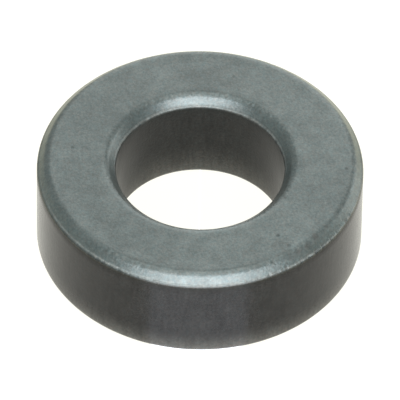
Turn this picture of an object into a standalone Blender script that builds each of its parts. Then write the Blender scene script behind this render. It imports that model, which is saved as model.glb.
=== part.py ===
"""A small ferrite ring core, pressed from powder and fired in one piece, lying flat on a face.

Metres, +Z up. The origin is on the ring's axis, in the plane of the lower face.
"""

import math

import bpy

# Driving dimensions
OUTER_DIAMETER = 0.0095
BORE_DIAMETER = 0.0049
HEIGHT = 0.00325

# The rim, alike on all four edges of the ring's section: from the face down a chamfer, over a
# narrow sloping land, to the wall. Insets run in from the wall, depths down from the face, and
# a stretch's tilt is 0 on the face and 90 on the wall
LAND_INSET = 0.00006
LAND_DEPTH = 0.00025
CHAMFER_TILT_DEG = 48.0
LAND_TILT_DEG = 37.0
BLEND_RADIUS = 0.00033
FOOT_RADIUS = 0.00008
EDGE_RADIUS = 0.000025

# Fineness of the surface
TURN_STEPS = 96
BLEND_STEPS = 6
FOOT_STEPS = 1
EDGE_STEPS = 3
SEAM_MERGE_DISTANCE = 0.0000005
SHARP_ANGLE_DEG = 40.0

# Finish
FERRITE_COLOUR = (0.18, 0.205, 0.195, 1.0)
FERRITE_ROUGHNESS = 0.5


def rounded_corner(corner, tilt_before, tilt_after, radius, steps):
    """The arc that rounds the corner between two stretches, as points (inset, depth)."""
    tangent = radius * math.tan(abs(tilt_after - tilt_before) / 2)
    bend = math.copysign(radius, tilt_after - tilt_before)
    start_inset = corner[0] + tangent * math.cos(tilt_before)
    start_depth = corner[1] - tangent * math.sin(tilt_before)
    points = []
    for step in range(steps + 1):
        tilt = tilt_before + (tilt_after - tilt_before) * step / steps
        inset = start_inset - bend * (math.sin(tilt) - math.sin(tilt_before))
        depth = start_depth + bend * (math.cos(tilt_before) - math.cos(tilt))
        points.append((inset, depth))
    return points


def rim_curve():
    """The rim from the face to the wall, as (inset from the wall, depth below the face)."""
    face = 0.0
    chamfer = math.radians(CHAMFER_TILT_DEG)
    land = math.radians(LAND_TILT_DEG)
    wall = math.pi / 2
    chamfer_top = (LAND_INSET + LAND_DEPTH / math.tan(chamfer), 0.0)
    chamfer_foot = (LAND_INSET, LAND_DEPTH)
    wall_top = (0.0, LAND_DEPTH + LAND_INSET * math.tan(land))
    blend = rounded_corner(chamfer_top, face, chamfer, BLEND_RADIUS, BLEND_STEPS)
    foot = rounded_corner(chamfer_foot, chamfer, land, FOOT_RADIUS, FOOT_STEPS)
    edge = rounded_corner(wall_top, land, wall, EDGE_RADIUS, EDGE_STEPS)
    return blend + foot + edge


def ring_section():
    """The closed section as (radius, height): down the outer side, then up the bore."""
    outer_radius = OUTER_DIAMETER / 2
    bore_radius = BORE_DIAMETER / 2
    down = rim_curve()
    up = down[::-1]
    outer_top = [(outer_radius - inset, HEIGHT - depth) for inset, depth in down]
    outer_bottom = [(outer_radius - inset, depth) for inset, depth in up]
    bore_bottom = [(bore_radius + inset, depth) for inset, depth in down]
    bore_top = [(bore_radius + inset, HEIGHT - depth) for inset, depth in up]
    return outer_top + outer_bottom + bore_bottom + bore_top


def turned_mesh(name, section):
    """The mesh of a closed section turned once round the Z axis."""
    corners = [(radius, 0.0, height) for radius, height in section]
    sides = [(i, (i + 1) % len(corners)) for i in range(len(corners))]
    profile_mesh = bpy.data.meshes.new(name + "_profile")
    profile_mesh.from_pydata(corners, sides, [])
    profile = bpy.data.objects.new(name + "_profile", profile_mesh)
    bpy.context.scene.collection.objects.link(profile)

    screw = profile.modifiers.new("Turn", "SCREW")
    screw.axis = "Z"
    screw.angle = math.tau
    screw.steps = TURN_STEPS
    screw.render_steps = TURN_STEPS
    screw.use_merge_vertices = True
    screw.merge_threshold = SEAM_MERGE_DISTANCE
    screw.use_smooth_shade = True

    turned = profile.evaluated_get(bpy.context.evaluated_depsgraph_get())
    mesh = bpy.data.meshes.new_from_object(turned)
    mesh.name = name
    bpy.data.objects.remove(profile)
    bpy.data.meshes.remove(profile_mesh)
    mesh.shade_smooth()
    mesh.set_sharp_from_angle(angle=math.radians(SHARP_ANGLE_DEG))
    return mesh


def fired_ferrite():
    """The dull grey-green of ferrite as it leaves the kiln."""
    material = bpy.data.materials.new("fired_ferrite")
    material.use_nodes = True
    shader = material.node_tree.nodes["Principled BSDF"]
    shader.inputs["Base Color"].default_value = FERRITE_COLOUR
    shader.inputs["Metallic"].default_value = 0.0
    shader.inputs["Roughness"].default_value = FERRITE_ROUGHNESS
    return material


def clear_scene():
    """Removes what the scene holds."""
    for old in list(bpy.data.objects):
        bpy.data.objects.remove(old)


def main():
    clear_scene()
    parts = bpy.data.collections.new("ferrite_core")
    bpy.context.scene.collection.children.link(parts)
    core_mesh = turned_mesh("ferrite_core", ring_section())
    core_mesh.materials.append(fired_ferrite())
    parts.objects.link(bpy.data.objects.new("ferrite_core", core_mesh))


main()
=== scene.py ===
"""Dresses the fired ferrite ring core: its fine surface, finish, floor, soft light and camera.

Lengths are in metres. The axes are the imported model's: +Z runs up the bore, the ring rests on
z = 0, and -Y is the front. An azimuth is counted from the front towards +X, in degrees.
"""

import logging
import math
from dataclasses import dataclass
from enum import Enum
from functools import partial, reduce

import bpy
import numpy as np
from mathutils import Matrix, Vector


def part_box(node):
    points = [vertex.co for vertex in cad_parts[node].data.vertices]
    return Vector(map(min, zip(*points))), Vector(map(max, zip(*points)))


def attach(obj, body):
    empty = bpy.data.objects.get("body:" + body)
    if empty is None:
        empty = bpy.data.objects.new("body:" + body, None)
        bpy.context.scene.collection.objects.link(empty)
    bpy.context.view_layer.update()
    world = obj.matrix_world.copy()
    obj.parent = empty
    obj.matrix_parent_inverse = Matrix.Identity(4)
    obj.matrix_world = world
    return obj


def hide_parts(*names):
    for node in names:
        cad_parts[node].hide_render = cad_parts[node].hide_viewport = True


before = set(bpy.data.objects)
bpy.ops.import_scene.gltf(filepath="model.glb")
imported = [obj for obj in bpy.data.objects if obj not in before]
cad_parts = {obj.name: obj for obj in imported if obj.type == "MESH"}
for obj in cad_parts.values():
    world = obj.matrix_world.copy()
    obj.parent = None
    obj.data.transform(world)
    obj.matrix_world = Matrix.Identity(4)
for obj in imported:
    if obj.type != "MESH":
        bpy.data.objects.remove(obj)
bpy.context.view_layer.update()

log = logging.getLogger("ferrite_core")

MM = 0.001
NODE = "ferrite_core"
BODY = "root"

Colour = tuple[float, float, float]
Span = tuple[float, float]
Socket = bpy.types.NodeSocket
Feed = Socket | float | tuple

# The span of a share
UNIT = (0.0, 1.0)
# How much of the way between two rims is eased, the rest being even
CROWDING = 0.6
# How much of a soft spot's radius is at full strength
SPOT_CORE = 0.4


class Side(Enum):
    """Which wall of the section a rim turns into."""

    OUTER = -1
    BORE = 1


class SkinMark(Enum):
    """Names of the number fields that the surface carries for its finish."""

    PRESSED = "pressed"
    CHIPPED = "chipped"
    # worn skin along the rims, with painted light in its strength
    WORN_AND_PAINTED_LIGHT = "worn_and_painted_light"


class Fineness(Enum):
    """How closely a rim is sampled, as a share of its full count of steps."""

    FULL = 1.0
    UNSEEN = 0.4

    def steps(self, full: int) -> int:
        """This share of a full count of steps, never less than one."""
        return max(1, round(full * self.value))


def smoothstep(value: np.ndarray) -> np.ndarray:
    """Eases a share: 3 t^2 - 2 t^3, with t held between 0 and 1."""
    held = np.clip(value, 0.0, 1.0)
    return held * held * (3.0 - 2.0 * held)


def between(first: np.ndarray, last: np.ndarray, steps: int) -> np.ndarray:
    """Points on the straight way from the first to the last, both left out.

    Args:
        first: Where the way starts.
        last: Where it ends.
        steps: How many stretches it is cut into.

    Returns:
        Rows at first + (last - first) times a share, which is part an eased step and part
        an even one, so that the rows crowd towards both ends.
    """
    even = np.linspace(0.0, 1.0, steps + 1)[1:-1, None]
    return first + (last - first) * (CROWDING * smoothstep(even) + (1.0 - CROWDING) * even)


def angle_from(centre: np.ndarray | float, turn: np.ndarray) -> np.ndarray:
    """The angle from a centre to a turn, between -pi and pi: the phase of exp(i (turn - centre))."""
    return np.angle(np.exp(1j * (turn - centre)))


def front_direction(azimuth_deg: float, elevation_deg: float) -> Vector:
    """The unit direction from the ring towards a place at this azimuth and elevation.

    Args:
        azimuth_deg: Angle from the front, -Y, towards +X.
        elevation_deg: Angle above the floor.

    Returns:
        (sin a cos e, -cos a cos e, sin e).
    """
    azimuth, elevation = math.radians(azimuth_deg), math.radians(elevation_deg)
    level = math.cos(elevation)
    return Vector((math.sin(azimuth) * level, -math.cos(azimuth) * level, math.sin(elevation)))


def hang(name: str, data: bpy.types.ID) -> bpy.types.Object:
    """Puts a new object with this data into the scene.

    Args:
        name: The object's name.
        data: Its mesh, light or camera.

    Returns:
        The object, at the origin.
    """
    piece = bpy.data.objects.new(name, data)
    bpy.context.scene.collection.objects.link(piece)
    return piece


@dataclass(frozen=True)
class RimForm:
    """The rim that joins a face to a wall, the same on all four edges of the section.

    It is a chain of straight stretches with rounded corners: the flat face, a chamfer, a
    narrow land and the wall. A stretch's tilt is 0 on the face and 90 degrees on the wall.
    """

    land_inset: float = 0.06 * MM
    land_depth: float = 0.25 * MM
    chamfer_tilt_deg: float = 48.0
    land_tilt_deg: float = 37.0
    blend_radius: float = 0.33 * MM
    foot_radius: float = 0.08 * MM
    edge_radius: float = 0.12 * MM
    blend_steps: int = 11
    chamfer_steps: int = 6
    foot_steps: int = 2
    land_steps: int = 3
    edge_steps: int = 8

    @property
    def tilts(self) -> tuple[float, ...]:
        """The tilt of each stretch in radians, from the face to the wall."""
        return (0.0, math.radians(self.chamfer_tilt_deg), math.radians(self.land_tilt_deg),
                math.pi / 2)

    @property
    def corners(self) -> tuple[tuple[float, float], ...]:
        """Where the stretches would meet if no corner were rounded, as (inset, depth)."""
        chamfer, land = self.tilts[1:3]
        return (
            (self.land_inset + self.land_depth / math.tan(chamfer), 0.0),
            (self.land_inset, self.land_depth),
            (0.0, self.land_depth + self.land_inset * math.tan(land)),
        )

    @property
    def wall_start(self) -> float:
        """Depth below the face at which the plain wall begins."""
        turn = self.tilts[3] - self.tilts[2]
        return self.corners[2][1] + self.edge_radius * math.tan(turn / 2)

    def rounded(self, corner: tuple[float, float], before: float, after: float,
                radius: float, steps: int) -> np.ndarray:
        """The arc that rounds one corner.

        It starts one tangent length, radius times tan(half the turn), short of the corner.
        From there the inset falls by radius times the change of sin(tilt), and the depth
        grows by radius times the fall of cos(tilt). A hollow corner turns the other way.

        Args:
            corner: The unrounded corner, as (inset, depth).
            before: Tilt of the stretch that comes in, in radians.
            after: Tilt of the stretch that goes out, in radians.
            radius: The arc's radius.
            steps: How many stretches the arc is cut into.

        Returns:
            An array of steps + 1 rows (inset, depth).
        """
        tangent = radius * math.tan(abs(after - before) / 2)
        bend = math.copysign(radius, after - before)
        tilt = np.linspace(before, after, steps + 1)
        inset = corner[0] + tangent * math.cos(before) - bend * (np.sin(tilt) - math.sin(before))
        depth = corner[1] - tangent * math.sin(before) + bend * (math.cos(before) - np.cos(tilt))
        return np.stack([inset, depth], axis=1)

    def curve(self, fineness: Fineness) -> np.ndarray:
        """The rim from the face to the wall.

        Args:
            fineness: How closely it is sampled.

        Returns:
            Rows (inset from the wall, depth below the face), the first on the flat face and
            the last on the wall.
        """
        radii = (self.blend_radius, self.foot_radius, self.edge_radius)
        counts = (self.blend_steps, self.foot_steps, self.edge_steps)
        blend, foot, edge = (
            self.rounded(corner, before, after, radius, fineness.steps(count))
            for corner, before, after, radius, count
            in zip(self.corners, self.tilts, self.tilts[1:], radii, counts)
        )
        chamfer = np.linspace(blend[-1], foot[0], fineness.steps(self.chamfer_steps) + 1)[1:-1]
        land = np.linspace(foot[-1], edge[0], fineness.steps(self.land_steps) + 1)[1:-1]
        return np.concatenate([blend, chamfer, foot, land, edge])


@dataclass(frozen=True)
class WaveField:
    """Smooth random relief: a sum of cosines over the ring's two ways round.

    Each wave goes a whole number of times round the axis and a whole number of times round
    the section, so that the field closes on itself both ways.
    """

    seed: int
    height: float
    turn_waves: tuple[int, int]
    section_waves: tuple[int, int]
    count: int = 60

    def sample(self, turn: np.ndarray, along: np.ndarray) -> np.ndarray:
        """The height at each place of a grid.

        Args:
            turn: Angles round the axis, in radians, one for each row.
            along: Shares of the way round the section, 0 to 1, one for each column.

        Returns:
            Sum of cos(m turn + 2 pi n along + phase), scaled so that its usual size is height.
        """
        random = np.random.default_rng(self.seed)
        times_round = random.integers(*self.turn_waves, self.count)
        sign = random.choice((-1, 1), self.count)
        times_along = random.integers(*self.section_waves, self.count) * sign
        phase = random.uniform(0.0, 2 * np.pi, self.count)
        first = np.exp(1j * (np.outer(turn, times_round) + phase))
        second = np.exp(2j * np.pi * np.outer(times_along, along))
        return self.height * np.real(first @ second) * math.sqrt(2.0 / self.count)


@dataclass(frozen=True)
class ChippedStretch:
    """A stretch of the upper outer edge where small flakes have broken off."""

    seed: int
    from_deg: float
    to_deg: float
    count: int
    widths: Span
    depths: Span

    def bite(self, turn: np.ndarray, radius: float) -> np.ndarray:
        """How deep the edge is broken at each azimuth.

        Args:
            turn: Azimuths in radians.
            radius: The edge's distance from the axis.

        Returns:
            The largest over the flakes of depth times 1 - (distance / half width)^2.
        """
        random = np.random.default_rng(self.seed)
        centre = np.radians(random.uniform(self.from_deg, self.to_deg, self.count))
        half_width = random.uniform(*self.widths, self.count) / 2
        depth = random.uniform(*self.depths, self.count)
        gap = angle_from(centre, turn[:, None]) * radius
        return np.max(depth * np.clip(1.0 - (gap / half_width) ** 2, 0.0, 1.0), axis=1)


@dataclass(frozen=True)
class Notch:
    """One larger flake broken from the edge: steep on one side, drawn out on the other."""

    azimuth_deg: float
    depth: float
    steep_width: float
    drawn_width: float

    def bite(self, turn: np.ndarray, radius: float) -> np.ndarray:
        """How deep the edge is broken: depth times 1 - distance / width, each side its own width.

        Args:
            turn: Azimuths in radians.
            radius: The edge's distance from the axis.

        Returns:
            The depth at each azimuth, 0 outside the flake.
        """
        gap = angle_from(math.radians(self.azimuth_deg), turn) * radius
        width = np.where(gap > 0, self.drawn_width, self.steep_width)
        return self.depth * np.clip(1.0 - np.abs(gap) / width, 0.0, 1.0)


@dataclass(frozen=True)
class EdgeDamage:
    """The broken places of the upper outer edge, cut at 45 degrees across the corner.

    A place counts as wholly chipped where it is cut back by the mark's reach or more.
    """

    notches: tuple[Notch, ...] = (
        Notch(38.6, 0.022 * MM, 0.03 * MM, 0.16 * MM),
        Notch(42.0, 0.026 * MM, 0.03 * MM, 0.20 * MM),
        Notch(45.4, 0.028 * MM, 0.04 * MM, 0.20 * MM),
        Notch(48.9, 0.020 * MM, 0.03 * MM, 0.16 * MM),
        Notch(53.5, 0.014 * MM, 0.03 * MM, 0.12 * MM),
    )
    stretches: tuple[ChippedStretch, ...] = (
        ChippedStretch(11, -62.0, -22.0, 26, (0.04 * MM, 0.14 * MM), (0.002 * MM, 0.010 * MM)),
        ChippedStretch(12, 20.0, 70.0, 30, (0.04 * MM, 0.12 * MM), (0.002 * MM, 0.010 * MM)),
        ChippedStretch(13, -180.0, 180.0, 70, (0.04 * MM, 0.12 * MM), (0.002 * MM, 0.008 * MM)),
    )
    reach_above: float = 0.05 * MM
    mark_reach: float = 0.01 * MM

    def bite(self, turn: np.ndarray, radius: float) -> np.ndarray:
        """The deepest of all the flakes at each azimuth, at this distance from the axis."""
        places = (*self.notches, *self.stretches)
        return np.max([place.bite(turn, radius) for place in places], axis=0)

    def cut(self, turn: np.ndarray, rim: np.ndarray, land_depth: float,
            radius: float) -> np.ndarray:
        """How far each point moves, both inwards and downwards, to lie on its flake's plane.

        The plane is inset + depth = D, where D is the unbroken corner's own least value plus
        sqrt 2 times the bite. A point short of D moves half the lack each way. Points above
        the land fade out of the cut.

        Args:
            turn: Azimuths in radians, one for each row.
            rim: Rows (inset, depth) of the rim and the wall below it, one for each column.
            land_depth: Depth of the land below the face.
            radius: The edge's distance from the axis.

        Returns:
            The move at each place of the grid.
        """
        bite = self.bite(turn, radius)
        total = rim.sum(axis=1)
        near_edge = rim[:, 1] > land_depth
        plane = np.where(bite > 0, total[near_edge].min() + math.sqrt(2.0) * bite, 0.0)
        lack = np.clip(plane[:, None] - total[None, :], 0.0, None) / 2
        return lack * smoothstep((rim[:, 1] - land_depth + self.reach_above) / self.reach_above)


@dataclass(frozen=True)
class EdgeWearAndPaintedLight:
    """The paler colour along the rims: a line at the chamfer's foot and a band round the bore.

    The line is worn skin; its strength round the ring is painted light, greatest some way to
    either side of the front, less at the front and least at the back. The band is painted light
    that lightens the bore's rim nearest the front. The line lies below the foot by its sink. On
    the outer rim the skew lowers it at the right and lifts it at the left, and a flake lifts it
    by the step times the flake's depth.
    """

    line_reach: float = 0.075 * MM
    line_sink: float = 0.025 * MM
    line_skew: float = 0.047 * MM
    line_step: float = 1.5
    line_gain: float = 0.8
    line_least: float = 0.1
    line_front: float = 0.6
    line_front_power: int = 8
    line_side: float = 0.05
    bore_sink: float = 0.065 * MM
    bore_reach: float = 0.10 * MM
    band_from: float = 0.02 * MM
    band_fade: float = 0.07 * MM
    band_gain: float = 1.1

    def line(self, way: np.ndarray, middle: np.ndarray, reach: float,
             turn: np.ndarray) -> np.ndarray:
        """The worn line along a rim, whose strength round the ring is painted light.

        Args:
            way: How far down the rim each column lies.
            middle: How far down it the line lies at each row.
            reach: How far it spreads to each side.
            turn: Each row's angle from where the rim faces the front, in radians.

        Returns:
            An eased bell about the line's middle. Its height goes with the cosine of the
            turn, is less where the rim faces the front, and is a little more where the sine
            of the turn is above 0.
        """
        gap = np.abs(way[None, :] - middle[:, None])
        # painted light: the line's strength changes with how far the rim turns towards the front
        near = np.clip(np.cos(turn), 0.0, 1.0)
        share = near * (1.0 - self.line_front * near**self.line_front_power)
        share *= 1.0 + self.line_side * np.sin(turn)
        gain = self.line_least + (self.line_gain - self.line_least) * share
        return smoothstep(1.0 - gap / reach) * gain[:, None]

    def band(self, depth: np.ndarray, reach: float, facing: np.ndarray) -> np.ndarray:
        """The band of painted light down the part of the bore's rim that lies towards the front.

        Args:
            depth: Each column's depth below the face.
            reach: The depth at which the wall begins.
            facing: How much each row's side faces the back, from -1 to 1.

        Returns:
            An eased step in at the rim's top and out at the wall, times the square of the
            facing.
        """
        inward = smoothstep((depth - self.band_from) / self.band_fade)
        outward = smoothstep((reach - depth) / self.band_fade)
        gain = self.band_gain * np.clip(facing, 0.0, 1.0) ** 2
        return (inward * outward)[None, :] * gain[:, None]


@dataclass(frozen=True)
class Speck:
    """A soft spot on the upper face or its rim: a pit, a grain, a stain or a faint patch.

    A strength above 0 darkens its place and one below 0 lightens it. A stain's strength is how
    far its place takes on the stain's tone.
    """

    x: float
    y: float
    radius: float
    strength: float


class Pattern(Enum):
    """The noise fields of the finish, each as its seed and its count of finer layers."""

    GRANULE = (21.0, 1.5)
    FINE = (22.0, 1.0)
    STREAK = (23.0, 2.0)
    WORN_AND_PAINTED_LIGHT = (24.0, 2.0)
    STAIN = (25.0, 2.0)
    TINT = (31.0, 1.0)
    PATCH = (32.0, 1.0)
    CLOUD = (34.0, 1.0)


class NodeDesk:
    """Adds shader nodes to one material and joins them."""

    def __init__(self, name: str) -> None:
        """Starts a material whose fields are read at the piece's own coordinates.

        Args:
            name: The material's name.
        """
        self.material = bpy.data.materials.new(name)
        self.material.use_nodes = True
        self.tree = self.material.node_tree
        self.shader = self.tree.nodes["Principled BSDF"]
        self.place = self.tree.nodes.new("ShaderNodeTexCoord").outputs["Object"]
        split = self.tree.nodes.new("ShaderNodeSeparateXYZ")
        self.feed(split.inputs["Vector"], self.place)
        self.x, self.y, self.level = split.outputs

    def feed(self, target: Socket, value: Feed) -> None:
        """Joins another socket to an input, or sets the input to a constant.

        Args:
            target: The input.
            value: The other socket, or the constant. A colour gets full alpha.
        """
        if isinstance(value, Socket):
            self.tree.links.new(value, target)
        elif target.type == "RGBA":
            target.default_value = (*value, 1.0)
        else:
            target.default_value = value

    def complete(self, values: dict[str, Feed]) -> bpy.types.Material:
        """Feeds the shader.

        Args:
            values: What each of its inputs gets, by the input's name.

        Returns:
            The material.
        """
        for name, value in values.items():
            self.feed(self.shader.inputs[name], value)
        return self.material

    def mark(self, name: SkinMark) -> Socket:
        """Reads one of the surface's own number fields.

        Args:
            name: Which field.

        Returns:
            The field's output.
        """
        node = self.tree.nodes.new("ShaderNodeAttribute")
        node.attribute_name = name.value
        return node.outputs["Fac"]

    def noise(self, size: float, pattern: Pattern,
              stretch: tuple[float, float, float] = (1.0, 1.0, 1.0)) -> Socket:
        """A field of soft noise, about 0.5 in the mean.

        Args:
            size: Width of one lump.
            pattern: Which of the finish's fields it is.
            stretch: How much longer the lumps are along each axis.

        Returns:
            The field's output.
        """
        placed = self.tree.nodes.new("ShaderNodeMapping")
        placed.vector_type = "TEXTURE"
        placed.inputs["Scale"].default_value = stretch
        self.feed(placed.inputs["Vector"], self.place)
        node = self.tree.nodes.new("ShaderNodeTexNoise")
        node.noise_dimensions = "4D"
        node.inputs["Scale"].default_value = 1.0 / size
        node.inputs["W"].default_value, node.inputs["Detail"].default_value = pattern.value
        self.feed(node.inputs["Vector"], placed.outputs["Vector"])
        return node.outputs["Fac"]

    def remap(self, value: Socket, result: Span, span: Span = UNIT,
              eased: bool = False) -> Socket:
        """Takes one span of values to another and holds what lies outside.

        Args:
            value: The number.
            result: What the span's first and last values become.
            span: Those two values, which are a share's 0 and 1 if none are given.
            eased: Whether it goes in an eased step, not evenly.

        Returns:
            The number taken over.
        """
        node = self.tree.nodes.new("ShaderNodeMapRange")
        node.interpolation_type = "SMOOTHSTEP" if eased else "LINEAR"
        self.feed(node.inputs["Value"], value)
        node.inputs["From Min"].default_value, node.inputs["From Max"].default_value = span
        node.inputs["To Min"].default_value, node.inputs["To Max"].default_value = result
        return node.outputs["Result"]

    def operate(self, kind: str, operation: str, first: Feed, second: Feed) -> bpy.types.Node:
        """Adds a node that works out something from two values.

        Args:
            kind: The node's type.
            operation: Which of its operations.
            first: What its first input gets.
            second: What its second input gets.

        Returns:
            The node.
        """
        node = self.tree.nodes.new(kind)
        node.operation = operation
        self.feed(node.inputs[0], first)
        self.feed(node.inputs[1], second)
        return node

    def calculate(self, operation: str, first: Feed, second: Feed) -> Socket:
        """Joins two numbers by one of the math node's operations."""
        return self.operate("ShaderNodeMath", operation, first, second).outputs["Value"]

    def combine(self, operation: str, first: Feed, second: Feed) -> Socket:
        """Joins two colours or places by one of the vector node's operations."""
        return self.operate("ShaderNodeVectorMath", operation, first, second).outputs["Vector"]

    def distance(self, first: Feed, second: Feed) -> Socket:
        """How far two places are apart."""
        return self.operate("ShaderNodeVectorMath", "DISTANCE", first, second).outputs["Value"]

    def total(self, *terms: Feed) -> Socket:
        """Several numbers added up."""
        return reduce(partial(self.calculate, "ADD"), terms)

    def times(self, *factors: Feed) -> Socket:
        """Several numbers multiplied."""
        return reduce(partial(self.calculate, "MULTIPLY"), factors)

    def blend(self, share: Feed, first: Feed, second: Feed) -> Socket:
        """Goes from one colour to another.

        Args:
            share: How far it has gone, from 0 to 1.
            first: The colour at 0.
            second: The colour at 1.

        Returns:
            The colour in between.
        """
        node = self.tree.nodes.new("ShaderNodeMix")
        node.data_type = "RGBA"
        self.feed(node.inputs["Factor"], share)
        self.feed(node.inputs["A"], first)
        self.feed(node.inputs["B"], second)
        return node.outputs["Result"]

    def radius(self) -> Socket:
        """The distance from the axis."""
        across = self.combine("MULTIPLY", self.place, (1.0, 1.0, 0.0))
        return self.distance(across, (0.0, 0.0, 0.0))

    def spot(self, speck: Speck, level: float) -> Socket:
        """A soft spot: 1 within the core's share of its radius, 0 from the radius on."""
        away = self.distance(self.place, (speck.x, speck.y, level))
        return self.remap(away, (1.0, 0.0), (speck.radius * SPOT_CORE, speck.radius), eased=True)

    def bump(self, height: Socket, distance: float, below: Socket | None) -> Socket:
        """Tilts the normal by a height field.

        Args:
            height: The field.
            distance: How high the field's 1 is above its 0.
            below: The normal that it starts from, if it isn't the surface's own.

        Returns:
            The tilted normal.
        """
        node = self.tree.nodes.new("ShaderNodeBump")
        node.inputs["Distance"].default_value = distance
        self.feed(node.inputs["Height"], height)
        if below is not None:
            self.feed(node.inputs["Normal"], below)
        return node.outputs["Normal"]


@dataclass(frozen=True)
class Skin:
    """One kind of surface: its own colour, its roughness and the tint of what it mirrors."""

    colour: Colour
    roughness: float
    tint: Colour


@dataclass(frozen=True)
class Granules:
    """The pressed powder's granules: small lumps that differ in shade, tint, gloss and height."""

    size: float = 0.075 * MM
    fine_size: float = 0.035 * MM
    shade: float = 0.35
    fine_shade: float = 0.22
    warm: Colour = (1.08, 0.99, 0.96)
    cool: Colour = (0.93, 1.01, 1.04)
    tint_span: Span = (0.2, 0.8)
    gloss: float = 0.1
    wall_grit: float = 0.65
    height: float = 0.0036 * MM
    fine_height: float = 0.0021 * MM


@dataclass(frozen=True)
class Clouds:
    """Larger, faint patches left by uneven pressing and firing."""

    patch_size: float = 0.45 * MM
    patch_shade: float = 0.25
    cloud_size: float = 1.8 * MM
    cloud_shade: float = 0.10


@dataclass(frozen=True)
class Streaks:
    """Fine upright rub marks on the walls, drawn as the ring left its die."""

    width: float = 0.10 * MM
    length: float = 6.0
    shade: float = 0.3
    gloss: float = 0.15
    height: float = 0.002 * MM


@dataclass(frozen=True)
class RubbedEdgeAndPaintedLight:
    """The paler, broken colour along the rims: worn skin with painted light in it."""

    colour: Colour = (0.17, 0.175, 0.16)
    patch: float = 0.13 * MM
    patch_span: Span = (0.35, 0.65)
    strength: Span = (0.3, 1.0)


@dataclass(frozen=True)
class Lean:
    """The outer wall's slight lean inwards just below its upper edge, between two depths."""

    height: float = 0.026 * MM
    start: float = 0.62 * MM
    end: float = 0.30 * MM


@dataclass(frozen=True)
class PaintedFloorLightFoot:
    """Painted light at the foot of the walls: a paler colour for light from the bright floor, which
    fades on the way up.

    Heights in the bore count for the bore's share of themselves, so the foot is taller there.
    """

    colour: Colour = (0.105, 0.102, 0.088)
    start: float = 0.1 * MM
    height: float = 1.13 * MM
    power: float = 2.2
    bore_share: float = 0.70


@dataclass(frozen=True)
class Dust:
    """A trace of pale powder that catches light at a low angle."""

    weight: float = 0.12
    roughness: float = 0.3
    tint: Colour = (1.0, 0.98, 0.86)


@dataclass(frozen=True)
class Stains:
    """Mottled brown stains on the outer rim."""

    tone: Colour = (0.86, 0.74, 0.72)
    patch: float = 0.13 * MM
    patch_span: Span = (0.35, 0.6)
    strength: Span = (0.2, 1.0)
    places: tuple[Speck, ...] = (
        Speck(2.73 * MM, -3.71 * MM, 0.22 * MM, 0.75),
        Speck(2.93 * MM, -3.52 * MM, 0.20 * MM, 0.8),
        Speck(3.16 * MM, -3.26 * MM, 0.19 * MM, 0.75),
        Speck(3.39 * MM, -2.94 * MM, 0.18 * MM, 0.7),
        Speck(3.65 * MM, -2.54 * MM, 0.13 * MM, 0.45),
        Speck(-2.72 * MM, -3.63 * MM, 0.12 * MM, 0.45),
        Speck(-2.07 * MM, -4.09 * MM, 0.12 * MM, 0.4),
    )


@dataclass(frozen=True)
class FiredFerrite:
    """The finish of ferrite as fired: dull grey-green pressed faces and darker rubbed walls.

    Its density falls in even bands from the pressed skin to the bare wall. A fresh chip
    mirrors only the chip's share of what the skin round it does.
    """

    face: Skin = Skin((0.014, 0.020, 0.018), 0.38, (0.89, 1.0, 0.965))
    wall: Skin = Skin((0.009, 0.009, 0.0088), 0.24, (1.0, 0.99, 0.91))
    bore: Skin = Skin((0.009, 0.009, 0.0088), 0.36, (0.96, 1.0, 0.90))
    outside_span: Span = (3.0 * MM, 4.0 * MM)
    face_ior: float = 2.2
    wall_ior: float = 1.30
    bands: int = 7
    chip_colour: Colour = (0.022, 0.026, 0.026)
    chip_roughness: float = 0.5
    chip_share: float = 0.35
    granules: Granules = Granules()
    clouds: Clouds = Clouds()
    streaks: Streaks = Streaks()
    # the worn rims' paler colour, with painted light in it
    edge: RubbedEdgeAndPaintedLight = RubbedEdgeAndPaintedLight()
    lean: Lean = Lean()
    # painted light: a paler foot for light from the bright floor
    foot: PaintedFloorLightFoot = PaintedFloorLightFoot()
    dust: Dust = Dust()
    stains: Stains = Stains()
    specks: tuple[Speck, ...] = (
        Speck(2.28 * MM, -2.92 * MM, 0.08 * MM, 0.45),
        Speck(2.60 * MM, -3.31 * MM, 0.09 * MM, 0.32),
        Speck(4.25 * MM, -0.20 * MM, 0.07 * MM, 0.4),
        Speck(2.47 * MM, -1.41 * MM, 0.07 * MM, 0.35),
        Speck(0.94 * MM, 3.44 * MM, 0.07 * MM, 0.3),
        Speck(-3.72 * MM, 0.46 * MM, 0.07 * MM, 0.35),
        Speck(3.64 * MM, -1.60 * MM, 0.05 * MM, -0.3),
        # The last four are broad, faint patches: lighter towards the front of the upper face and
        # darker towards its back.
        Speck(0.30 * MM, -3.20 * MM, 1.60 * MM, -0.10),
        Speck(2.40 * MM, -2.60 * MM, 1.50 * MM, -0.07),
        Speck(-2.60 * MM, 2.40 * MM, 1.60 * MM, 0.07),
        Speck(0.20 * MM, 3.80 * MM, 1.50 * MM, 0.08),
    )

    def band_of(self, pressed: np.ndarray) -> np.ndarray:
        """The number of the band that each pressed share, 0 to 1, falls in."""
        return np.rint(pressed * (self.bands - 1)).astype(np.int32)

    def materials(self, top: float) -> list[bpy.types.Material]:
        """Each band's material, from the bare wall to the pressed skin.

        Args:
            top: Height of the upper face.

        Returns:
            The materials, in the order of the bands' numbers.
        """
        shares = [band / (self.bands - 1) for band in range(self.bands)]
        return [FerritePaint(self, top, share).material() for share in shares]


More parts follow.
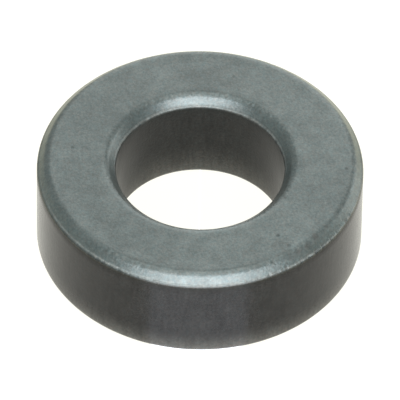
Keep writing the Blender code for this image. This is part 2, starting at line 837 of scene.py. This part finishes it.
class FerritePaint:
    """The material of one band of the skin, and the fields that its layers share."""

    def __init__(self, finish: FiredFerrite, top: float, share: float) -> None:
        """Starts the material and adds the shared fields.

        Args:
            finish: The finish as numbers.
            top: Height of the upper face.
            share: How far the band's skin is pressed, from 0 to 1.
        """
        desk = NodeDesk(f"fired_ferrite_{share:.2f}")
        self.finish, self.top, self.share, self.desk = finish, top, share, desk
        self.pressed, self.broken = desk.mark(SkinMark.PRESSED), desk.mark(SkinMark.CHIPPED)
        self.bare = desk.calculate("SUBTRACT", 1.0, self.pressed)
        self.outside = desk.remap(desk.radius(), UNIT, finish.outside_span)
        self.granule = desk.noise(finish.granules.size, Pattern.GRANULE)
        self.fine = desk.noise(finish.granules.fine_size, Pattern.FINE)
        upright = (1.0, 1.0, finish.streaks.length)
        self.streak = desk.noise(finish.streaks.width, Pattern.STREAK, upright)

    def tone(self) -> Socket:
        """Works out what the own colour is multiplied by, channel by channel.

        Returns:
            The granules' warm or cool tone, turned brown where the rim is stained.
        """
        desk, granules, stains = self.desk, self.finish.granules, self.finish.stains
        tint = desk.remap(desk.noise(granules.size, Pattern.TINT), UNIT, granules.tint_span)
        tone = desk.blend(tint, granules.warm, granules.cool)
        mottle = desk.noise(stains.patch, Pattern.STAIN)
        mottle = desk.remap(mottle, stains.strength, stains.patch_span)
        for stain in stains.places:
            share = desk.times(desk.spot(stain, self.top), stain.strength, mottle)
            tone = desk.blend(share, tone, stains.tone)
        return tone

    def shade(self) -> Socket:
        """Works out how much lighter or darker than its own colour each place is.

        Returns:
            A factor: 1 plus the bare walls' rub marks and grit, times one factor each for the
            granules, the fine grain, the patches, the clouds and every speck.
        """
        desk, granules, clouds = self.desk, self.finish.granules, self.finish.clouds
        grit = desk.times(desk.calculate("SUBTRACT", self.fine, 0.5), granules.wall_grit)
        rub = desk.total(desk.calculate("SUBTRACT", self.streak, 0.5), grit)
        shade = desk.total(desk.times(rub, self.bare, 2 * self.finish.streaks.shade), 1.0)
        layers = (
            (self.granule, granules.shade),
            (self.fine, granules.fine_shade),
            (desk.noise(clouds.patch_size, Pattern.PATCH), clouds.patch_shade),
            (desk.noise(clouds.cloud_size, Pattern.CLOUD), clouds.cloud_shade),
        )
        for layer, contrast in layers:
            shade = desk.times(shade, desk.remap(layer, (1 - contrast, 1 + contrast)))
        for speck in self.finish.specks:
            factor = desk.remap(desk.spot(speck, self.top), (1.0, 1.0 - speck.strength))
            shade = desk.times(shade, factor)
        return shade

    def skin(self) -> Socket:
        """Works out the surface's colour, with painted light at the foot and along the rims.

        Returns:
            The wall's or the face's colour, under the chips, the paler foot, which is painted light,
            and the worn edges, which carry painted light too.
        """
        desk, finish, foot, edge = self.desk, self.finish, self.finish.foot, self.finish.edge
        skin = desk.blend(self.pressed, finish.wall.colour, finish.face.colour)
        skin = desk.blend(self.broken, skin, finish.chip_colour)
        # painted light: the walls' foot is paler, for light from the bright floor, and fades on the
        # way up
        level = desk.times(desk.level, desk.remap(self.outside, (foot.bore_share, 1.0)))
        painted_floor_light = desk.remap(level, (1.0, 0.0), (foot.start, foot.height))
        skin = desk.blend(desk.calculate("POWER", painted_floor_light, foot.power), skin, foot.colour)
        # worn skin along the rims, with painted light in how strong it is
        patchy_share = desk.remap(desk.noise(edge.patch, Pattern.WORN_AND_PAINTED_LIGHT), edge.strength, edge.patch_span)
        return desk.blend(desk.times(desk.mark(SkinMark.WORN_AND_PAINTED_LIGHT), patchy_share), skin, edge.colour)

    def mirrored(self) -> Socket:
        """Works out the tint of what each place mirrors.

        Returns:
            The bore's, the wall's or the face's tint, less of it where there is a chip.
        """
        desk, finish = self.desk, self.finish
        tint = desk.blend(self.outside, finish.bore.tint, finish.wall.tint)
        tint = desk.blend(self.pressed, tint, finish.face.tint)
        return desk.combine("MULTIPLY", tint, desk.remap(self.broken, (1.0, finish.chip_share)))

    def roughness(self) -> Socket:
        """Works out how rough each place is.

        Returns:
            Each skin's own roughness, a little uneven with the granules and the rub marks.
        """
        desk, finish = self.desk, self.finish
        wall = desk.remap(self.outside, (finish.bore.roughness, finish.wall.roughness))
        skin = desk.total(
            desk.times(wall, self.bare),
            desk.times(self.pressed, finish.face.roughness),
            desk.times(self.broken, finish.chip_roughness - finish.face.roughness),
        )
        layers = (self.granule, finish.granules.gloss), (self.streak, finish.streaks.gloss)
        for layer, contrast in layers:
            skin = desk.times(skin, desk.remap(layer, (1 - contrast, 1 + contrast)))
        return skin

    def relief(self) -> Socket:
        """Works out the normal.

        Returns:
            The surface's own, tilted by the grain, the rub marks and the outer wall's lean.
            The lean's field is 0 on the wall and all over the bore. It falls to -1 at the
            upper outer edge, as the square of the way up.
        """
        desk, finish, lean = self.desk, self.finish, self.finish.lean
        way = desk.remap(desk.level, UNIT, (self.top - lean.start, self.top - lean.end))
        layers = (
            (self.granule, finish.granules.height),
            (self.fine, finish.granules.fine_height),
            (desk.times(self.streak, self.bare), finish.streaks.height),
            (desk.times(way, way, self.outside, -1.0), lean.height),
        )
        relief = None
        for layer, height in layers:
            relief = desk.bump(layer, height, relief)
        return relief

    def material(self) -> bpy.types.Material:
        """Feeds the shader.

        Returns:
            The material. Its density is one number all over the band.
        """
        desk, finish = self.desk, self.finish
        toned = desk.combine("MULTIPLY", self.tone(), self.shade())
        return desk.complete({
            "Base Color": desk.combine("MULTIPLY", self.skin(), toned),
            "Specular Tint": desk.combine("MULTIPLY", self.mirrored(), toned),
            "Roughness": self.roughness(),
            "Normal": self.relief(),
            "IOR": finish.wall_ior + (finish.face_ior - finish.wall_ior) * self.share,
            "Sheen Weight": finish.dust.weight,
            "Sheen Roughness": finish.dust.roughness,
            "Sheen Tint": finish.dust.tint,
        })


@dataclass(frozen=True)
class CloseStretch:
    """A stretch of azimuth where the surface is sampled more closely than elsewhere."""

    middle_deg: float
    half_width_deg: float
    gain: float


@dataclass
class RingCore:
    """The whole core: one pressed and fired ring, as a fine skin over its section.

    Its relief is a broad swell, a fine ripple and, where a face turns into a rim, a wobble.
    The walls have only their share of the swell and the ripple. The pressed skin ends at a
    depth below each face, and fades out over some way above it.
    """

    outer_radius: float
    bore_radius: float
    height: float
    rim: RimForm = RimForm()
    finish: FiredFerrite = FiredFerrite()
    damage: EdgeDamage = EdgeDamage()
    # worn rims, with painted light along them
    wear_and_painted_light: EdgeWearAndPaintedLight = EdgeWearAndPaintedLight()
    swell: WaveField = WaveField(1, 0.0003 * MM, (20, 60), (5, 16))
    ripple: WaveField = WaveField(2, 0.00015 * MM, (60, 150), (14, 40), 120)
    wobble: WaveField = WaveField(3, 0.002 * MM, (30, 150), (10, 60), 120)
    wobble_depth: float = 0.03 * MM
    wobble_reach: float = 0.06 * MM
    wobble_start: float = 0.002 * MM
    wobble_rise: float = 0.01 * MM
    wall_relief: float = 0.4
    skin_end: float = 0.375 * MM
    skin_fade: float = 0.15 * MM
    bore_skin_end: float = 0.41 * MM
    bore_skin_fade: float = 0.22 * MM
    turn_steps: int = 780
    turn_samples: int = 7201
    outer_wall_steps: int = 14
    bore_wall_steps: int = 6
    top_face_steps: int = 20
    bottom_face_steps: int = 4
    close_stretches: tuple[CloseStretch, ...] = (
        CloseStretch(45.0, 14.0, 1.6),
        CloseStretch(-40.0, 16.0, 0.8),
    )

    @classmethod
    def from_frame(cls) -> "RingCore":
        """Reads the ring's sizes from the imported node.

        Returns:
            The ring with those sizes. The bore's radius is its vertices' least distance from
            the axis.
        """
        low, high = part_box(NODE)
        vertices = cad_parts[NODE].data.vertices
        points = np.empty(len(vertices) * 3, np.float32)
        vertices.foreach_get("co", points)
        across = np.hypot(points[0::3], points[1::3])
        return cls(outer_radius=high.x, bore_radius=float(across.min()), height=high.z - low.z)

    @property
    def middle_radius(self) -> float:
        """The radius half way across the ring's section."""
        return (self.outer_radius + self.bore_radius) / 2

    def turns(self) -> np.ndarray:
        """Places the grid's rows round the axis, closer together where the edge is broken.

        The density is 1 plus a bell for each close stretch. Its running sum, taken over one
        whole turn, is read backwards at even steps.

        Returns:
            The azimuths in radians.
        """
        even = np.linspace(0.0, 2 * np.pi, self.turn_samples)
        density = np.ones_like(even)
        for place in self.close_stretches:
            gap = np.degrees(angle_from(math.radians(place.middle_deg), even))
            density += place.gain * np.exp(-((gap / place.half_width_deg) ** 2))
        running = np.concatenate([[0.0], np.cumsum((density[1:] + density[:-1]) / 2)])
        wanted = np.linspace(0.0, running[-1], self.turn_steps, endpoint=False)
        return np.interp(wanted, running, even)

    def section(self) -> tuple[np.ndarray, int]:
        """The closed section: down the outer side, in along the bottom, up the bore and back.

        Returns:
            Rows (radius, height), of which the last joins the first, and how many of them,
            from the first on, make up the upper outer rim and the wall below it.
        """
        outer_top = self.corner(Side.OUTER, top=True)
        outer_bottom = self.corner(Side.OUTER, top=False)[::-1]
        bore_bottom = self.corner(Side.BORE, top=False)
        bore_top = self.corner(Side.BORE, top=True)[::-1]
        outer_wall = between(outer_top[-1], outer_bottom[0], self.outer_wall_steps)
        rows = np.concatenate([
            outer_top,
            outer_wall,
            outer_bottom,
            between(outer_bottom[-1], bore_bottom[0], self.bottom_face_steps),
            bore_bottom,
            between(bore_bottom[-1], bore_top[0], self.bore_wall_steps),
            bore_top,
            between(bore_top[-1], outer_top[0], self.top_face_steps),
        ])
        return rows, len(outer_top) + len(outer_wall)

    def corner(self, side: Side, top: bool) -> np.ndarray:
        """Places one of the section's four rims.

        Args:
            side: The wall that it turns into.
            top: Whether it is on the upper face.

        Returns:
            Rows (radius, height), from the face to the wall.
        """
        rim = self.rim.curve(Fineness.FULL if top else Fineness.UNSEEN)
        wall = self.outer_radius if side is Side.OUTER else self.bore_radius
        level = self.height - rim[:, 1] if top else rim[:, 1]
        return np.stack([wall + side.value * rim[:, 0], level], axis=1)

    def surface(self) -> tuple[np.ndarray, dict[SkinMark, np.ndarray]]:
        """Works out the skin as one grid, a function of the turn and the way round the section.

        Each place is the section's point, pushed along the section's own normal by the relief,
        cut back where the edge is broken, and turned round the axis.

        Returns:
            The points as a grid of rows by columns, and each number field on the same grid.
        """
        section, outer_count = self.section()
        turn = self.turns()
        ahead, behind = np.roll(section, -1, axis=0), np.roll(section, 1, axis=0)
        length = np.hypot(*(ahead - section).T)
        along = (np.cumsum(length) - length) / length.sum()
        slope = ahead - behind
        slope /= np.hypot(*slope.T)[:, None]
        depth = np.minimum(section[:, 1], self.height - section[:, 1])
        outside = smoothstep((self.skin_end - depth) / self.skin_fade)
        inside = smoothstep((self.bore_skin_end - depth) / self.bore_skin_fade)
        pressed = np.where(section[:, 0] > self.middle_radius, outside, inside)
        worn_and_painted_light = self.worn_and_painted_light(turn, section)
        relief = self.swell.sample(turn, along) + self.ripple.sample(turn, along)
        relief *= self.wall_relief + (1.0 - self.wall_relief) * pressed
        blend = smoothstep(1.0 - np.abs(depth - self.wobble_depth) / self.wobble_reach)
        on_rim = smoothstep((depth - self.wobble_start) / self.wobble_rise)
        relief += self.wobble.sample(turn, along) * blend * on_rim
        radius = section[:, 0] - slope[:, 1] * relief
        level = section[:, 1] + slope[:, 0] * relief
        outer = slice(0, outer_count)
        rim = np.array([self.outer_radius, self.height]) - section[outer]
        cut = self.damage.cut(turn, rim, self.rim.land_depth, self.outer_radius)
        radius[:, outer] -= cut
        level[:, outer] -= cut
        chipped = np.zeros_like(radius)
        chipped[:, outer] = smoothstep(cut / self.damage.mark_reach)
        sine, cosine = np.sin(turn)[:, None], np.cos(turn)[:, None]
        points = np.stack([radius * sine, -radius * cosine, level], axis=-1)
        fields = {
            SkinMark.PRESSED: np.broadcast_to(pressed, radius.shape),
            SkinMark.CHIPPED: chipped,
            SkinMark.WORN_AND_PAINTED_LIGHT: worn_and_painted_light,
        }
        return points, fields

    def worn_and_painted_light(self, turn: np.ndarray, section: np.ndarray) -> np.ndarray:
        """How worn each place of the grid is, with painted light along the rims.

        Args:
            turn: Azimuths in radians, one for each row.
            section: Rows (radius, height) of the section, one for each column.

        Returns:
            The line on the outer rims, which steps up where flakes have broken off, and the
            line and the band on the bore's rims. The lines' strength round the ring is painted
            light, and so is the band.
        """
        depth = np.minimum(section[:, 1], self.height - section[:, 1])
        inset = np.minimum(self.outer_radius - section[:, 0], section[:, 0] - self.bore_radius)
        foot = self.rim.land_depth - self.rim.land_inset
        way = np.where(depth < 2 * self.rim.land_depth, depth - inset, self.height)
        step = self.wear_and_painted_light.line_step * self.damage.bite(turn, self.outer_radius)
        sink = self.wear_and_painted_light.line_sink + self.wear_and_painted_light.line_skew * np.sin(turn)
        outer = self.wear_and_painted_light.line(way, foot + sink - step, self.wear_and_painted_light.line_reach, turn)
        level = np.full_like(turn, foot + self.wear_and_painted_light.bore_sink)
        bore = self.wear_and_painted_light.line(way, level, self.wear_and_painted_light.bore_reach, turn + np.pi)
        # painted light: the band lightens the bore's rim nearest the front
        bore = np.maximum(bore, self.wear_and_painted_light.band(depth, self.rim.wall_start, np.cos(turn)))
        return np.where(section[:, 0] > self.middle_radius, outer, bore)

    def build(self) -> bpy.types.Object:
        """Joins the grid into one closed mesh.

        Returns:
            The ring's object. Its mesh carries the number fields, and each of its faces has the
            number of its band of the finish.
        """
        points, fields = self.surface()
        rows, columns = points.shape[:2]
        row, column = np.meshgrid(np.arange(rows), np.arange(columns), indexing="ij")
        next_row, next_column = (row + 1) % rows, (column + 1) % columns
        quads = np.stack([
            row * columns + column,
            row * columns + next_column,
            next_row * columns + next_column,
            next_row * columns + column,
        ], axis=-1).reshape(-1, 4)
        mesh = bpy.data.meshes.new("core_skin")
        mesh.from_pydata(points.reshape(-1, 3), [], quads)
        mesh.shade_smooth()
        for name, values in fields.items():
            mark = mesh.attributes.new(name.value, "FLOAT", "POINT")
            mark.data.foreach_set("value", values.astype(np.float32).ravel())
        pressed = fields[SkinMark.PRESSED]
        middle = (pressed + np.roll(pressed, -1, axis=1)) / 2
        mesh.polygons.foreach_set("material_index", self.finish.band_of(middle).ravel())
        return hang("core_skin", mesh)

    def dress(self, core: bpy.types.Object) -> None:
        """Gives each band of the skin its finish and says what the ring stands for.

        Args:
            core: The ring's object.
        """
        for material in self.finish.materials(self.height):
            core.data.materials.append(material)
        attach(core, BODY)
        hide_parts(NODE)


@dataclass(frozen=True)
class PaleFloor:
    """A plain pale floor in a pool of light that fades away from the ring."""

    half_width: float = 1.5
    colour: Colour = (0.05, 0.05, 0.05)
    roughness: float = 0.3
    glow_colour: Colour = (1.0, 0.985, 0.90)
    pool_colour: Colour = (1.0, 0.965, 0.74)
    pool_left: Span = (-12.0 * MM, -2.0 * MM)
    pool_left_share: float = 0.3
    patch_colour: Colour = (0.93, 1.0, 1.25)
    patch_glow: float = 0.9
    patch_apex: float = -2.5 * MM
    patch_tip: float = 0.01 * MM
    patch_slope: float = 0.70
    patch_ease: float = 0.07
    near_glow: float = 1.05
    pool_glow: float = 1.4
    far_glow: float = 0.55
    pool_rise: Span = (7.5 * MM, 10.5 * MM)
    pool_fall: Span = (17.0 * MM, 32.0 * MM)

    def build(self) -> bpy.types.Object:
        """Makes the floor.

        Returns:
            The floor's object: one square, level with the ring's lower face.
        """
        corners = self.half_width * np.array([(-1, -1, 0), (1, -1, 0), (1, 1, 0), (-1, 1, 0)])
        mesh = bpy.data.meshes.new("pale_floor")
        mesh.from_pydata(corners, [], [(0, 1, 2, 3)])
        mesh.materials.append(self.paint())
        floor = hang("pale_floor", mesh)
        return floor

    def paint(self) -> bpy.types.Material:
        """Paints the floor.

        Returns:
            The material: a glossy dark sheet that is pale by its own glow. It glows evenly at
            the ring, more in a warm pool round it, less far out and to the left, and bluer in
            the front light's patch.
        """
        desk = NodeDesk("pale_floor")
        away = desk.radius()
        loss = self.far_glow - self.pool_glow
        rise = desk.remap(away, UNIT, self.pool_rise, eased=True)
        fall = desk.remap(away, (0.0, loss), self.pool_fall, eased=True)
        side = desk.remap(desk.x, (self.pool_left_share, 1.0), self.pool_left)
        level = desk.remap(desk.times(rise, side), (self.near_glow, self.pool_glow))
        warm = desk.blend(rise, self.glow_colour, self.pool_colour)
        glow = desk.combine("MULTIPLY", warm, desk.total(level, fall))
        patch = desk.combine("MULTIPLY", self.patch_colour, self.patch(desk))
        return desk.complete({
            "Base Color": self.colour,
            "Roughness": self.roughness,
            "Emission Color": desk.combine("ADD", glow, patch),
            "Emission Strength": 1.0,
        })

    def patch(self, desk: NodeDesk) -> Socket:
        """The front light's own patch in front of the ring: a wedge that widens away from it.

        Args:
            desk: Where the nodes are added.

        Returns:
            The patch's strength. The wedge's side is where |x| is the slope times the way in
            front of the apex, and the strength eases to nothing across it.
        """
        ahead = desk.calculate("SUBTRACT", self.patch_apex, desk.y)
        ahead = desk.calculate("MAXIMUM", ahead, self.patch_tip)
        ratio = desk.calculate("DIVIDE", desk.calculate("ABSOLUTE", desk.x, 0.0), ahead)
        span = (self.patch_slope * (1 - self.patch_ease), self.patch_slope * (1 + self.patch_ease))
        return desk.remap(ratio, (self.patch_glow, 0.0), span, eased=True)


@dataclass(frozen=True)
class SoftLight:
    """A plain rectangular soft light, at a place round the ring and turned to face it."""

    name: str
    azimuth_deg: float
    elevation_deg: float
    width: float
    height: float
    radiance: float
    distance: float = 0.5
    colour: Colour = (1.0, 1.0, 1.0)

    def build(self, aim: Vector) -> bpy.types.Object:
        """Makes the light.

        Args:
            aim: The point that it faces.

        Returns:
            The light's object. Its power is radiance times pi times its area.
        """
        lamp = bpy.data.lights.new(self.name, "AREA")
        lamp.shape = "RECTANGLE"
        lamp.size = self.width
        lamp.size_y = self.height
        lamp.color = self.colour
        lamp.energy = self.radiance * math.pi * self.width * self.height
        towards = front_direction(self.azimuth_deg, self.elevation_deg)
        placed = hang(self.name, lamp)
        placed.location = aim + towards * self.distance
        placed.rotation_mode = "QUATERNION"
        placed.rotation_quaternion = towards.to_track_quat("Z", "Y")
        placed.visible_camera = False
        return placed


@dataclass(frozen=True)
class Studio:
    """The light all round: a pale surround and a few soft lights."""

    surround_colour: Colour = (0.95, 1.0, 1.0)
    surround_strength: float = 0.58
    lights: tuple[SoftLight, ...] = (
        SoftLight("front_light", 3.0, 29.4, 0.65, 0.565, 4.6, colour=(0.98, 1.0, 1.07)),
        SoftLight("top_light", 0.0, 88.0, 0.30, 0.40, 1.74),
        SoftLight("right_light", 118.0, 6.8, 0.24, 0.47, 1.87),
        SoftLight("back_light", 174.0, 13.4, 0.38, 0.73, 1.3),
    )

    def build(self, aim: Vector) -> None:
        """Makes the surround and the lights.

        Args:
            aim: The point that the lights face.
        """
        world = bpy.data.worlds.new("studio")
        world.use_nodes = True
        surround = world.node_tree.nodes["Background"]
        surround.inputs["Color"].default_value = (*self.surround_colour, 1.0)
        surround.inputs["Strength"].default_value = self.surround_strength
        bpy.context.scene.world = world
        for light in self.lights:
            light.build(aim)
        bpy.context.scene.view_settings.view_transform = "Standard"


@dataclass(frozen=True)
class PhotoCamera:
    """A long lens that looks down on the ring from the front."""

    elevation_deg: float = 46.54
    roll_deg: float = 0.96
    distance: float = 285.0 * MM
    lens_mm: float = 879.2
    sensor_mm: float = 36.0
    aim_right: float = 0.0117 * MM
    aim_down: float = 0.019 * MM
    near_clip: float = 1.0 * MM
    far_clip: float = 10.0

    def build(self, centre: Vector) -> bpy.types.Object:
        """Makes the camera and gives it to the scene.

        Args:
            centre: The middle of the ring, which it looks at but for a hair's breadth.

        Returns:
            The camera's object.
        """
        towards = front_direction(0.0, self.elevation_deg)
        level = towards.to_track_quat("Z", "Y").to_matrix()
        right, up = level.col[0], level.col[1]
        aim = centre + right * self.aim_right - up * self.aim_down
        lens = bpy.data.cameras.new("camera")
        lens.lens = self.lens_mm
        lens.sensor_width = self.sensor_mm
        lens.clip_start = self.near_clip
        lens.clip_end = self.far_clip
        camera = hang("camera", lens)
        camera.location = aim + towards * self.distance
        camera.rotation_mode = "QUATERNION"
        turned = level @ Matrix.Rotation(math.radians(self.roll_deg), 3, "Z")
        camera.rotation_quaternion = turned.to_quaternion()
        bpy.context.scene.camera = camera
        return camera


def main() -> None:
    """Builds the camera, the ring, the floor and the light, in that order."""
    logging.basicConfig(level=logging.INFO, format="%(name)s: %(message)s")
    ring = RingCore.from_frame()
    middle = Vector((0.0, 0.0, ring.height / 2))
    PhotoCamera().build(middle)
    core = ring.build()
    ring.dress(core)
    log.info("%s: %d faces", core.name, len(core.data.polygons))
    floor = PaleFloor().build()
    log.info("%s: %d face", floor.name, len(floor.data.polygons))
    Studio().build(middle)


if __name__ == "__main__":
    main()
